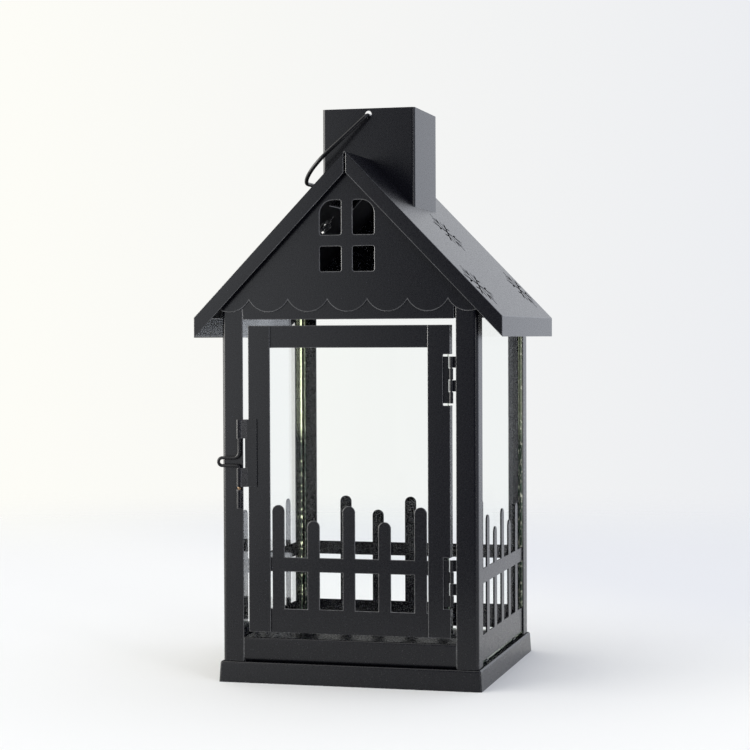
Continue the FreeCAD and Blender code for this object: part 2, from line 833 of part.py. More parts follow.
def flake_bar(heading, root, angle, length):
    """A slot-wide bar along an angle, whose middle line starts at a root along a heading."""
    edge = -S.flake_slot / 2
    bar = box((ZERO, length), (edge, -edge), (-S.sheet_gauge - OVERCUT, ZERO + OVERCUT))
    turn(bar, angle)
    across, along = math.radians(angle), math.radians(heading)
    x = root * math.cos(along) - edge * math.sin(across)
    y = root * math.sin(along) + edge * math.cos(across)
    return move(bar, x, y, -S.sheet_gauge - OVERCUT)


def chimney():
    """Square folded flue, open above and cut to the slopes below, with holes for the bail."""
    body = new_body("flue")
    feature(body, "Pad", outline(body, "XY_Plane", [square(S.chimney_width)]), chimney_top)
    bore = outline(body, "XY_Plane", [square(S.chimney_width - 2 * S.sheet_gauge)])
    hollow = feature(body, "Pocket", bore, chimney_top + OVERCUT, reverse=True)
    corner = chimney_half.value
    inner_corner = (chimney_half - S.sheet_gauge).value
    outside = round_edges(body, hollow, on_corner(corner), S.chimney_fold + S.sheet_gauge)
    round_edges(body, outside, on_corner(inner_corner), S.chimney_fold)
    wide = chimney_half + OVERCUT
    wide_z = ridge - wide * slope_fall
    below = ZERO - OVERCUT
    under_roof = [(-wide, below), (wide, below), (wide, wide_z), (ZERO, ridge), (-wide, wide_z)]
    through = S.chimney_width + 2 * OVERCUT
    feature(body, "Pocket", outline(body, "XZ_Plane", [under_roof]), through, "Symmetric")
    ears = round_hole(body, "XZ_Plane", (ZERO, bail_hole_z), bail_hole_radius)
    feature(body, "Pocket", ears, through, "Symmetric")
    sub_part(body, "chimney")


def on_corner(reach):
    """Test for points on the four upright corners of a square about the Z axis."""
    return lambda point: near(abs(point.x), reach) and near(abs(point.y), reach)


def bail():
    """Wire bail, drawn upright in the YZ plane about its axis and then laid over to the left."""
    tail = (chimney_half - S.sheet_gauge - S.bail_tail).value
    ear = (chimney_half + S.bail_ear).value
    shoulder = (chimney_half + S.bail_splay).value
    height = S.bail_height.value
    route = [(-tail, 0), (-ear, 0), (-shoulder, height), (shoulder, height), (ear, 0), (tail, 0)]
    ends, tops = S.bail_ear.value, S.bail_corner.value
    item = doc.addObject("Part::Feature", "bail_wire")
    corners = [(0, y, z) for y, z in route]
    item.Shape = bent_rod(corners, [ends, tops, tops, ends], S.bail_wire.value)
    turn(item, -(90 + S.bail_rest_angle.value), (0, 1, 0))
    sub_part(move(item, ZERO, ZERO, bail_axis_z), "bail")


base_tray()
corner_post("post_front_left", 0, front, front)
corner_post("post_front_right", 90, half, front)
corner_post("post_back_right", 180, half, half)
corner_post("post_back_left", 270, front, half)
front_sill()
for wall_name in WALL_TURNS:
    header_low = header_bottom if wall_name == "front" else post_top - S.wall_header_height
    frame_strip(wall_name + "_header", wall_name, header_low, post_top, S.header_gap)
for wall_name in GLAZED_WALLS:
    wall_fence(wall_name)
    wall_pane(wall_name)
wall_clips()
gable("gable_front", 0)
gable("gable_back", 180)
roof_shell()
chimney()
bail()

door_stile("door_stile_left", -1, [])
door_stile("door_stile_right", 1, [hinge_notch(upper_hinge), hinge_notch(lower_hinge)])
door_top_rail()
door_fence()
door_glass()
door_clips()
hinge("upper", upper_hinge)
hinge("lower", lower_hinge)
plate_bottom, plate_top = latch_plate()
keeper_head = latch_keeper(plate_bottom)
latch_bolt(plate_bottom, plate_top, keeper_head)

doc.recompute()
for item in doc.Objects:
    if "Invalid" in item.State or "Error" in item.State:
        raise RuntimeError("%s did not build: %s" % (item.Label, item.State))
for item in sub_parts:
    if item.Shape.isNull() or not item.Shape.isValid() or not item.Shape.Solids:
        raise RuntimeError("%s has no sound solid" % item.Label)

os.makedirs("parts", exist_ok=True)
for item in sub_parts:
    item.Shape.exportStep("parts/%s.step" % item.Label)
    limits = item.Shape.BoundBox
    print("%-24s %2d solids %9.1f mm3  x %7.2f %7.2f  y %7.2f %7.2f  z %7.2f %7.2f" % (
        item.Label, len(item.Shape.Solids), item.Shape.Volume,
        limits.XMin, limits.XMax, limits.YMin, limits.YMax, limits.ZMin, limits.ZMax,
    ))
print("hinge axis x %.3f y %.3f, bolt axis x %.3f y %.3f, bail axis z %.3f" % (
    hinge_x.value, front.value, bolt_x.value, bolt_y.value, bail_axis_z.value,
))
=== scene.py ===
# %% [markdown]
# # A candle lantern in black sheet steel
#
# The lantern is a little house: a pressed base, four folded corner posts, glass walls
# behind picket fences, a hinged door, and a roof with a chimney that carries a wire bail.
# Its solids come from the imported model, at their real size. This lesson gives them the
# looks: rounded edges, a satin powder coat, ground glass and bent wire.

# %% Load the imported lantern
import json
import bpy
import numpy as np
from mathutils import Matrix, Vector

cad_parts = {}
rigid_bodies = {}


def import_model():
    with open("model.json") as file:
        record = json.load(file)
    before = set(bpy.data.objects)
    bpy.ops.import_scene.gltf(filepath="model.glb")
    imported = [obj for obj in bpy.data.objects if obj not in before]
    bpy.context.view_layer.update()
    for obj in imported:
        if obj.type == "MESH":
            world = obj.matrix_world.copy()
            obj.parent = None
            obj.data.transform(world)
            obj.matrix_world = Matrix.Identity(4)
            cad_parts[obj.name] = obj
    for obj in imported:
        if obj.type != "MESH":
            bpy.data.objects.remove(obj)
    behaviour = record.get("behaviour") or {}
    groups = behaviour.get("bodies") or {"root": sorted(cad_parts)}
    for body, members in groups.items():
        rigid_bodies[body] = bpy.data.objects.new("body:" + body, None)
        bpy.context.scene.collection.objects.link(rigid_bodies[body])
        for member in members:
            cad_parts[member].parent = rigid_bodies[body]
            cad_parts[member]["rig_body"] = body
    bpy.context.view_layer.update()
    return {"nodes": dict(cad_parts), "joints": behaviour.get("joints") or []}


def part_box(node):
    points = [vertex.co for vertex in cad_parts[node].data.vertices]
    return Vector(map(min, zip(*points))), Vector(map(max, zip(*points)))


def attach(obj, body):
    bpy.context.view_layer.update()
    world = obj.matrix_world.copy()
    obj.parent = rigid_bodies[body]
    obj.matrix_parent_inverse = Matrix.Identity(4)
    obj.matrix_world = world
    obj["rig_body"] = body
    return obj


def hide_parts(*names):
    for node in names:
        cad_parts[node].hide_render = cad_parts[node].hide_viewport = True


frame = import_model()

MM = 0.001
nodes = frame["nodes"]

# %% [markdown]
# ## The camera
#
# The photograph was taken with a long lens, a little to the right of the door and at the
# height of the eaves. Verticals stay nearly upright, so the camera is almost level.
# A camera can be aimed with a constraint, but three angles and a place say the same thing
# in plain numbers, and the picture comes out the same each time.

# %% Camera
PICTURE_WIDTH = 750
FOCAL_PIXELS = 1996.0
SENSOR_WIDTH = 36.0
CAMERA_PLACE = np.array([265.0, -1015.7, 172.95]) * MM
YAW, PITCH, ROLL = np.radians([14.80, -1.08, -0.22])

forward = np.array([-np.sin(YAW) * np.cos(PITCH), np.cos(YAW) * np.cos(PITCH), np.sin(PITCH)])
level = np.array([np.cos(YAW), np.sin(YAW), 0.0])
above = np.cross(level, forward)
right = np.cos(ROLL) * level + np.sin(ROLL) * above
up = np.cos(ROLL) * above - np.sin(ROLL) * level

lens = bpy.data.cameras.new("camera")
lens.sensor_width = SENSOR_WIDTH
lens.lens = FOCAL_PIXELS / PICTURE_WIDTH * SENSOR_WIDTH
lens.clip_start, lens.clip_end = 0.05, 50.0
camera = bpy.data.objects.new("camera", lens)
turned = Matrix(np.column_stack([right, up, -forward]).tolist()).to_4x4()
camera.matrix_world = Matrix.Translation(CAMERA_PLACE) @ turned
bpy.context.scene.collection.objects.link(camera)
bpy.context.scene.camera = camera
bpy.context.scene.view_settings.view_transform = "Standard"
print("lens %.1f mm" % lens.lens)

# %% [markdown]
# ## Small helpers
#
# A material is a graph of nodes. A few short functions keep the graphs readable: they add a
# node and fill its sockets, where a value that is another node's socket becomes a link, start
# a material with a Principled shader, carry a value from one range to another, and mix two
# colours. Two more number the faces of a grid, and turn numpy points and faces into an object
# that sits at the origin, as every piece here does.

# %% Helpers for nodes
def fill(tree, socket, value):
    """Set a socket to a value, or link it where the value is another node's socket."""
    if isinstance(value, bpy.types.NodeSocket):
        tree.links.new(value, socket)
    else:
        socket.default_value = value


def add_node(tree, kind, settings=None, **sockets):
    """A node of that kind. Settings are its properties, sockets its inputs by name."""
    node = tree.nodes.new(kind)
    for name, value in (settings or {}).items():
        setattr(node, name, value)
    for name, value in sockets.items():
        fill(tree, node.inputs[name.replace("_", " ")], value)
    return node


def bare_tree(block):
    """The node tree of a material or a world, with nothing in it."""
    block.use_nodes = True
    block.node_tree.nodes.clear()
    return block.node_tree


def start_material(name, **sockets):
    """A material with one Principled shader, and its node tree."""
    material = bpy.data.materials.new(name)
    tree = bare_tree(material)
    shader = add_node(tree, "ShaderNodeBsdfPrincipled", **sockets)
    add_node(tree, "ShaderNodeOutputMaterial", Surface=shader.outputs["BSDF"])
    return material, tree, shader


def object_coordinates(tree):
    """Where a point lies on the piece, in metres from the lantern's origin."""
    return add_node(tree, "ShaderNodeTexCoord").outputs["Object"]


def noise(tree, place, scale, detail, **sockets):
    """Smooth random patches between 0 and 1, about as many to the metre as the scale says."""
    patches = add_node(
        tree, "ShaderNodeTexNoise", Vector=place, Scale=scale, Detail=detail, **sockets,
    )
    return patches.outputs["Fac"]


def ramp(tree, value, start, stop, at_start=0.0, at_stop=1.0, ease="LINEAR"):
    """The value start becomes at_start, and stop becomes at_stop. Beyond them it is held."""
    mapped = add_node(
        tree, "ShaderNodeMapRange", {"interpolation_type": ease}, Value=value,
        From_Min=start, From_Max=stop, To_Min=at_start, To_Max=at_stop,
    )
    return mapped.outputs["Result"]


def combine(tree, operation, first, second=0.0):
    """Two values added, multiplied or compared, as the operation says."""
    joined = add_node(tree, "ShaderNodeMath", {"operation": operation})
    fill(tree, joined.inputs[0], first)
    fill(tree, joined.inputs[1], second)
    return joined.outputs[0]


def mix_colours(tree, share, first, second):
    """The first colour where the share is 0, the second where it is 1.

    A Mix node has sockets for numbers, vectors and colours. Those for colours are 6, 7 and 2.
    """
    mixed = add_node(tree, "ShaderNodeMix", {"data_type": "RGBA"}, Factor=share)
    fill(tree, mixed.inputs[6], first)
    fill(tree, mixed.inputs[7], second)
    return mixed.outputs[2]


print("helpers for nodes ready")

# %% Helpers for meshes
def make_mesh(name, points, faces, materials, finish=0, smooth=False):
    """An object from points, lists of corner numbers, and a material number for each face."""
    mesh = bpy.data.meshes.new(name)
    mesh.from_pydata(np.asarray(points).tolist(), [], [[int(c) for c in face] for face in faces])
    for material in materials:
        mesh.materials.append(material)
    finish = np.broadcast_to(finish, len(faces)).astype(np.int32)
    smooth = np.broadcast_to(smooth, len(faces)).astype(bool)
    mesh.polygons.foreach_set("material_index", finish)
    mesh.polygons.foreach_set("use_smooth", smooth)
    piece = bpy.data.objects.new(name, mesh)
    bpy.context.scene.collection.objects.link(piece)
    return piece


def grid_faces(rows, columns, wrap_rows=False, wrap_columns=False):
    """Four-cornered faces between the points of a grid, as an array of corner numbers."""
    r = np.arange(rows if wrap_rows else rows - 1)
    c = np.arange(columns if wrap_columns else columns - 1)
    r, c = (a.ravel() for a in np.meshgrid(r, c, indexing="ij"))
    r_next, c_next = (r + 1) % rows, (c + 1) % columns
    corners = [(r, c), (r, c_next), (r_next, c_next), (r_next, c)]
    return np.stack([a * columns + b for a, b in corners], axis=1)


print("helpers for meshes ready")

# %% [markdown]
# ## The floor
#
# The lantern stands on a white sweep of paper. A painted shade greys it, a little bluish, towards
# the back right. A bent sheet would have an end somewhere. So the floor is a disc that fades out
# before its rim, and no line shows where it ends and the pale surroundings take over.

# %% Floor
FLOOR_RADIUS, FLOOR_RINGS, FLOOR_SPOKES = 1.6, 12, 48
FADE_START, FADE_END = 0.35, 1.3
# The second floor colour is painted shade, mixed in towards the back right.
FLOOR_COLOUR, FLOOR_PAINTED_SHADE = (0.91, 0.905, 0.89, 1.0), (0.80, 0.805, 0.83, 1.0)
SHADE_WAY, SHADE_START, SHADE_END = (1.0, 1.0, 0.0), 0.12, 0.5


def disc(radius, rings, spokes):
    """Points at radius times ring / rings, turned by spoke / spokes of a full circle."""
    ring = np.arange(1, rings + 1) / rings * radius
    angle = np.arange(spokes) / spokes * 2 * np.pi
    x = np.outer(ring, np.cos(angle)).ravel()
    y = np.outer(ring, np.sin(angle)).ravel()
    points = np.column_stack([x, y, np.zeros_like(x)])
    faces = grid_faces(rings, spokes, wrap_columns=True)[:, ::-1].tolist()
    return points, faces + [list(range(spokes))]


floor_paint = bpy.data.materials.new("floor_paint")
tree = bare_tree(floor_paint)
place = object_coordinates(tree)
# Painted shade: the share of the grey colour grows towards the back right.
back_right = add_node(tree, "ShaderNodeVectorMath", {"operation": "DOT_PRODUCT"})
fill(tree, back_right.inputs[0], place)
fill(tree, back_right.inputs[1], SHADE_WAY)
painted_shade = ramp(tree, back_right.outputs["Value"], SHADE_START, SHADE_END, ease="SMOOTHSTEP")
paper = add_node(tree, "ShaderNodeBsdfDiffuse", Color=mix_colours(tree, painted_shade, FLOOR_COLOUR, FLOOR_PAINTED_SHADE))
clear = add_node(tree, "ShaderNodeBsdfTransparent")
reach = add_node(tree, "ShaderNodeVectorMath", {"operation": "LENGTH"}, Vector=place)
fade = ramp(tree, reach.outputs["Value"], FADE_START, FADE_END, ease="SMOOTHERSTEP")
blend = add_node(tree, "ShaderNodeMixShader", Fac=fade)
fill(tree, blend.inputs[1], paper.outputs[0])
fill(tree, blend.inputs[2], clear.outputs[0])
add_node(tree, "ShaderNodeOutputMaterial", Surface=blend.outputs[0])
floor = make_mesh("floor", *disc(FLOOR_RADIUS, FLOOR_RINGS, FLOOR_SPOKES), [floor_paint])
print("floor of", len(floor.data.polygons), "faces")

# %% [markdown]
# ## The surroundings
#
# What stands round the lantern is pale paper, a little warmer on the left and cooler on the
# right, and it lights the lantern evenly. A picture wrapped round the scene would do that too,
# but a ramp of three tones from left to right is all that the metal and the glass need to mirror.

# %% Surroundings
SKY_LEFT, SKY_RIGHT = -0.42, 0.7
SKY_TONES = [
    (0.0, (0.985, 0.98, 0.93, 1.0)), (0.36, (0.82, 0.835, 0.875, 1.0)), (1.0, (0.76, 0.81, 0.94, 1.0)),
]

world = bpy.data.worlds.new("surroundings")
bpy.context.scene.world = world
tree = bare_tree(world)
looking = add_node(tree, "ShaderNodeTexCoord").outputs["Generated"]
sideways = add_node(tree, "ShaderNodeSeparateXYZ", Vector=looking).outputs["X"]
tones = add_node(tree, "ShaderNodeValToRGB", Fac=ramp(tree, sideways, SKY_LEFT, SKY_RIGHT))
tones.color_ramp.elements.new(SKY_TONES[1][0])
for stop, (position, tone) in zip(tones.color_ramp.elements, SKY_TONES):
    stop.position, stop.color = position, tone
sky = add_node(tree, "ShaderNodeBackground", Color=tones.outputs["Color"], Strength=1.0)
add_node(tree, "ShaderNodeOutputWorld", Surface=sky.outputs[0])
print("surroundings in", len(SKY_TONES), "tones")

# %% [markdown]
# ## Soft lamps and a flag
#
# A black gloss is only as good as what it mirrors. The main light is a soft box high on the
# left, which throws the soft shadow to the right of the base. A window beside it is seen by
# glossy surfaces alone: it draws a line down the left-hand folds, and the floor stays as it is.
# A dim box fills the front from the left, a narrow one on the right draws the right-hand
# folds, and one behind lifts the roof slope and the side. A dark card, which photographers
# call a flag, stands beside the camera: the front mirrors it, so the black stays deep on the
# right and lifts on the left, past the card's edge. None of them is in the picture itself.

# %% Lamps and flag
LANTERN_MIDDLE = (0.0, 0.0, 0.15)


def soft_box(name, place, width, height, brightness, colour, gloss_only=False):
    """A rectangular lamp that faces the lantern. Its power is pi times area times brightness."""
    lamp = bpy.data.lights.new(name, "AREA")
    lamp.shape = "RECTANGLE"
    lamp.size, lamp.size_y = width, height
    lamp.energy = np.pi * width * height * brightness
    lamp.color = colour
    stand = bpy.data.objects.new(name, lamp)
    stand.location = place
    stand.rotation_euler = (Vector(LANTERN_MIDDLE) - Vector(place)).to_track_quat("-Z", "Y").to_euler()
    stand.visible_camera = False
    stand.visible_transmission = False
    stand.visible_diffuse = not gloss_only
    bpy.context.scene.collection.objects.link(stand)
    return lamp.energy


WARM, PLAIN, COOL = (1.0, 0.985, 0.95), (1.0, 1.0, 1.0), (0.9, 0.97, 1.08)
lamp_powers = [
    soft_box("high_left", (-0.7, -0.35, 1.6), 1.2, 1.2, 1.5, WARM),
    soft_box("left_window", (-1.25, -0.5, 0.45), 1.2, 0.9, 8.5, WARM, gloss_only=True),
    soft_box("front_fill", (-0.85, -1.5, 0.35), 0.8, 1.0, 0.9, COOL),
    soft_box("right_strip", (0.95, -0.95, 0.35), 0.2, 0.9, 6.0, PLAIN),
    soft_box("behind_right", (0.35, 1.6, 0.42), 1.1, 0.9, 0.2, COOL),
]

FLAG_NEAR, FLAG_BACK = -0.33, CAMERA_PLACE[1]
FLAG_LEFT, FLAG_TOP_LEFT, FLAG_RIGHT = -0.18, -0.55, 1.1
FLAG_LOW, FLAG_HIGH = 0.002, 1.2
FLAG_SHADE = (0.07, 0.075, 0.13, 1.0)
flag_cloth = bpy.data.materials.new("flag_cloth")
tree = bare_tree(flag_cloth)
dim = add_node(tree, "ShaderNodeEmission", Color=FLAG_SHADE)
add_node(tree, "ShaderNodeOutputMaterial", Surface=dim.outputs[0])
flag_points = np.array([
    (FLAG_LEFT, FLAG_NEAR, FLAG_LOW), (FLAG_RIGHT, FLAG_NEAR, FLAG_LOW),
    (FLAG_LEFT, FLAG_BACK, FLAG_LOW), (FLAG_RIGHT, FLAG_BACK, FLAG_LOW),
    (FLAG_TOP_LEFT, FLAG_BACK, FLAG_HIGH), (FLAG_RIGHT, FLAG_BACK, FLAG_HIGH),
])
flag = make_mesh("flag", flag_points, grid_faces(3, 2), [flag_cloth])
for sense in ("visible_camera", "visible_diffuse", "visible_transmission", "visible_shadow"):
    setattr(flag, sense, False)
print("lamps of", [round(float(power), 1) for power in lamp_powers], "W and a flag")

# %% [markdown]
# ## Powder coat
#
# The steel is sprayed with dry powder and baked. The skin is a satin black with a fine
# orange peel: low waves about a millimetre across, and finer grit in between. A flat black
# would look like a hole in the picture, so the coat gets its life from the waves and the grit
# as bump, a scatter of paler grains, and a gloss that changes a little from grain to grain.
# Some faces are duller: dust lies on the level ones, and little powder reaches those that look
# down, such as the underside of the roof. A second material for them would do, but a mask on
# the way that the face looks needs no choosing of faces.

# %% Powder coat
COAT_INDEX, SATIN_LEVEL = 1.4, 0.5
PEEL_SCALE, PEEL_DETAIL, PEEL_DEPTH = 900.0, 2.0, 0.05 * MM
GRIT_SCALE, GRIT_DETAIL, GRIT_DEPTH = 4200.0, 1.0, 0.014 * MM
GRAIN_START, GRAIN_FULL = 0.6, 0.78
GLOSS_LOW, GLOSS_HIGH, GLOSS_SPREAD = 0.3, 0.7, 0.03
RELIEF = 0.2
LEVEL_START, LEVEL_FULL, DUSTY_LEVEL = 0.8, 0.95, 0.008
UNDER_START, UNDER_FULL, UNDER_LEVEL, UNDER_ROUGHNESS = -0.5, -0.65, 0.1, 0.5


def powder_coat(name, colour, grain_colour, roughness):
    """Satin black with orange peel and grit, and a gloss that varies over a millimetre or so.

    The upward part of the way a face looks is 1 on top, 0 on a wall and -1 underneath. It takes
    gloss from level faces, and gloss and relief from undersides.
    """
    material, tree, shader = start_material(name, IOR=COAT_INDEX)
    place = object_coordinates(tree)
    waves = noise(tree, place, PEEL_SCALE, PEEL_DETAIL)
    grit = noise(tree, place, GRIT_SCALE, GRIT_DETAIL)
    grains = ramp(tree, grit, GRAIN_START, GRAIN_FULL)
    fill(tree, shader.inputs["Base Color"], mix_colours(tree, grains, colour, grain_colour))

    facing = add_node(tree, "ShaderNodeNewGeometry").outputs["True Normal"]
    upward = add_node(tree, "ShaderNodeSeparateXYZ", Vector=facing).outputs["Z"]
    dusty = ramp(tree, upward, LEVEL_START, LEVEL_FULL, SATIN_LEVEL, DUSTY_LEVEL)
    under = ramp(tree, upward, UNDER_FULL, UNDER_START, UNDER_LEVEL, SATIN_LEVEL)
    fill(tree, shader.inputs["Specular IOR Level"], combine(tree, "MINIMUM", dusty, under))

    gloss = ramp(tree, waves, GLOSS_LOW, GLOSS_HIGH, roughness - GLOSS_SPREAD, roughness + GLOSS_SPREAD)
    dull = ramp(tree, upward, UNDER_FULL, UNDER_START, UNDER_ROUGHNESS, 0.0)
    fill(tree, shader.inputs["Roughness"], combine(tree, "ADD", gloss, dull))

    relief = ramp(tree, upward, UNDER_FULL, UNDER_START, 0.0, RELIEF)
    peel = add_node(tree, "ShaderNodeBump", Height=waves, Strength=relief, Distance=PEEL_DEPTH)
    rough = add_node(
        tree, "ShaderNodeBump", Height=grit, Strength=relief, Distance=GRIT_DEPTH,
        Normal=peel.outputs["Normal"],
    )
    fill(tree, shader.inputs["Normal"], rough.outputs["Normal"])
    return material


COAT_BLACK, COAT_GRAIN = (0.0026, 0.0027, 0.0044, 1.0), (0.010, 0.0105, 0.0155, 1.0)
COAT_ROUGHNESS = 0.27
black_coat = powder_coat("black_coat", COAT_BLACK, COAT_GRAIN, COAT_ROUGHNESS)
print("made", black_coat.name)

# %% [markdown]
# ## The coat on the edges
#
# On a cut edge the coat is thin, and hands and cloths rub it first. There it is smoother and
# paler in long patches. A worn edge could be found by the shader from how sharply the surface
# turns, but here the edges become faces of their own in the next step, so they simply get a
# second material.

# %% Edge coat
EDGE_INDEX, EDGE_ROUGHNESS = 1.9, 0.3
RUB_SCALE, RUB_DETAIL, RUB_START, RUB_FULL = 90.0, 2.0, 0.3, 0.7
EDGE_BLACK, EDGE_RUBBED = (0.008, 0.008, 0.0095, 1.0), (0.055, 0.055, 0.06, 1.0)

edge_coat, tree, shader = start_material("edge_coat", IOR=EDGE_INDEX, Roughness=EDGE_ROUGHNESS)
rubs = noise(tree, object_coordinates(tree), RUB_SCALE, RUB_DETAIL)
worn = ramp(tree, rubs, RUB_START, RUB_FULL)
fill(tree, shader.inputs["Base Color"], mix_colours(tree, worn, EDGE_BLACK, EDGE_RUBBED))
print("made", edge_coat.name)

# %% [markdown]
# ## Edges of the sheet metal
#
# Cut and folded sheet is never razor sharp: the press rounds one side, and the coat pulls
# back from corners and fills them. Those narrow rounds catch the light and draw every edge.
# The solids come in as loose triangles, so each piece first has its triangles joined and
# its flats merged. A Bevel then rounds what is sharper than the limit, and weighted normals
# keep the flats flat in the shading.

# %% Round the edges of the metal
EDGE_RADIUS, STAMPED_RADIUS = 0.28 * MM, 0.4 * MM
EDGE_STEPS = 3
SHARPER_THAN, FLAT_WITHIN = np.radians([32, 1])
JOIN_WITHIN = 0.001 * MM

shade_smooth = bpy.data.node_groups.new("shade_smooth", "GeometryNodeTree")
shade_smooth.interface.new_socket("Geometry", in_out="INPUT", socket_type="NodeSocketGeometry")
shade_smooth.interface.new_socket("Geometry", in_out="OUTPUT", socket_type="NodeSocketGeometry")
entry = shade_smooth.nodes.new("NodeGroupInput")
smooth_faces = add_node(
    shade_smooth, "GeometryNodeSetShadeSmooth", {"domain": "FACE"}, Geometry=entry.outputs[0],
)
smooth_lines = add_node(
    shade_smooth, "GeometryNodeSetShadeSmooth", {"domain": "EDGE"}, Geometry=smooth_faces.outputs[0],
)
leave = shade_smooth.nodes.new("NodeGroupOutput")
shade_smooth.links.new(smooth_lines.outputs[0], leave.inputs[0])


def round_edges(piece, radius, merge_flats=True, clamp=True):
    """Join the triangles, merge the flats and round the sharp edges of a piece."""
    join = piece.modifiers.new("join_triangles", "WELD")
    join.merge_threshold = JOIN_WITHIN
    if merge_flats:
        flats = piece.modifiers.new("merge_flats", "DECIMATE")
        flats.decimate_type = "DISSOLVE"
        flats.angle_limit = FLAT_WITHIN
    smooth = piece.modifiers.new("shade_smooth", "NODES")
    smooth.node_group = shade_smooth
    bevel = piece.modifiers.new("round_edges", "BEVEL")
    bevel.width = radius
    bevel.segments = EDGE_STEPS
    bevel.limit_method = "ANGLE"
    bevel.angle_limit = SHARPER_THAN
    bevel.use_clamp_overlap = clamp
    bevel.material = len(piece.data.materials) - 1
    normals = piece.modifiers.new("flat_stays_flat", "WEIGHTED_NORMAL")
    normals.keep_sharp = False


metal = [name for name, piece in nodes.items() if piece.data.materials[0].name.startswith("black_coat")]
for name in metal:
    nodes[name].data.materials[0] = black_coat
    nodes[name].data.materials.append(edge_coat)
    pierced, stamped = name == "roof_shell", name.startswith("gable")
    radius = STAMPED_RADIUS if stamped else EDGE_RADIUS
    round_edges(nodes[name], radius, merge_flats=not pierced, clamp=not stamped)
print("rounded", len(metal), "pieces")

# %% [markdown]
# ## Corner posts
#
# A post is a strip bent to an angle over a blunt bar, so its fold is wide: about 2 mm. On the
# left that fold mirrors the window as a pale line down the whole post, which a tight corner
# can't do. So the posts are drawn again over their solids: the outline of the angle, with two
# arcs about one centre, is carried up the height of the post.

# %% Corner posts
POST_GAUGE = 0.8 * MM
POST_FOLD = 2.1 * MM
FOLD_STEPS = 12


def folded_post(name, node):
    """An angle section carried from the foot of a post to its top.

    The outline runs along the outer faces, whose fold is centre + fold (cos t, sin t) with t
    from 270 to 180 degrees, and back along the inner ones, whose fold is tighter by the gauge.
    """
    low, high = (np.array(corner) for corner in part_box(node))
    flange = high[0] - low[0]
    t = np.radians(np.linspace(270, 180, FOLD_STEPS + 1))
    arc = np.column_stack([np.cos(t), np.sin(t)])
    outer = np.concatenate([[(flange, 0)], POST_FOLD * (1 + arc), [(0, flange)]])
    inner = POST_FOLD + (POST_FOLD - POST_GAUGE) * arc[::-1]
    inner = np.concatenate([[(POST_GAUGE, flange)], inner, [(flange, POST_GAUGE)]])
    outline = np.concatenate([outer, inner])
    side = np.sign(low[:2] + high[:2])
    corner = np.where(side > 0, high[:2], low[:2])
    outline = corner - side * outline
    rings = [np.column_stack([outline, np.full(len(outline), z)]) for z in (low[2], high[2])]
    points = np.concatenate(rings)
    ring = np.arange(len(outline))
    faces = [*grid_faces(2, len(outline), wrap_columns=True), ring[::-1], ring + len(outline)]
    if side[0] * side[1] > 0:
        faces = [face[::-1] for face in faces]
    made = make_mesh(name, points, faces, [black_coat, edge_coat])
    round_edges(made, EDGE_RADIUS, merge_flats=False)
    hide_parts(node)
    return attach(made, nodes[node]["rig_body"])


for node in [name for name in nodes if name.startswith("post_")]:
    made = folded_post(node + "_folded", node)
    print(made.name, "carries", len(made.data.polygons), "faces")

# %% [markdown]
# ## Panes of window glass
#
# The walls and the door are glazed with 2 mm window glass. The faces are nearly invisible,
# and what the eye finds is the cut edge: a snapped and hand-ground strip, green in its depth,
# with an uneven little bevel where the sharp corners were rubbed off. A plain box would show
# a hard bright line there, so each pane is built as a profile carried round its outline, and
# the width of the ground bevel wanders from point to point.
#
# A pane gathers light through its faces and leads it to its edges, most of all the one beside
# the window. Following that light would take very many samples, so the edges get a painted glow
# of their own instead, which stands in for that light: even in the upper part, and only in the
# chips below. The left pane mirrors the bright surroundings at a slant, which veils what is
# behind it, and the others mirror darker parts of the room. So they get lower indices, which is
# simpler than building the room.

# %% Glass materials
GLASS_TINT = (0.99, 1.0, 0.995, 1.0)
CLEAR_INDEX, RIGHT_INDEX, LEFT_INDEX = 1.14, 1.02, 1.3
WIPE_SCALE, WIPE_DETAIL, WIPE_SWIRL = 28.0, 4.0, 0.6
HAZE_START, HAZE_FULL, HAZE = 0.55, 0.75, 0.015
GROUND_INDEX, GROUND_ROUGHNESS, GROUND_CLEAR = 1.5, 0.35, 0.5
CHIP_SCALE, CHIP_DETAIL, CHIP_START, CHIP_FULL = 520.0, 2.0, 0.55, 0.67
CHIP_RELIEF, CHIP_DEPTH = 0.4, 0.1 * MM
GREEN_DEPTH, CHIP_WHITE = (0.06, 0.13, 0.08, 1.0), (1.0, 1.0, 0.9, 1.0)
# Painted glow on the cut edges, standing in for light led through the panes: strong on the left pane.
GLOW_LIT, GLOW_FAINT = 1.7, 0.12
GLOW_COLOUR = (0.93, 1.0, 0.68, 1.0)
GLOW_LOW, GLOW_HIGH = 115 * MM, 124 * MM


def window_glass(name, index):
    """Clean glass. The lower the index, the less of the room it mirrors."""
    material, tree, shader = start_material(
        name, Base_Color=GLASS_TINT, IOR=index, Transmission_Weight=1.0,
    )
    wiped = noise(tree, object_coordinates(tree), WIPE_SCALE, WIPE_DETAIL, Distortion=WIPE_SWIRL)
    fill(tree, shader.inputs["Roughness"], ramp(tree, wiped, HAZE_START, HAZE_FULL, 0.0, HAZE))
    return material


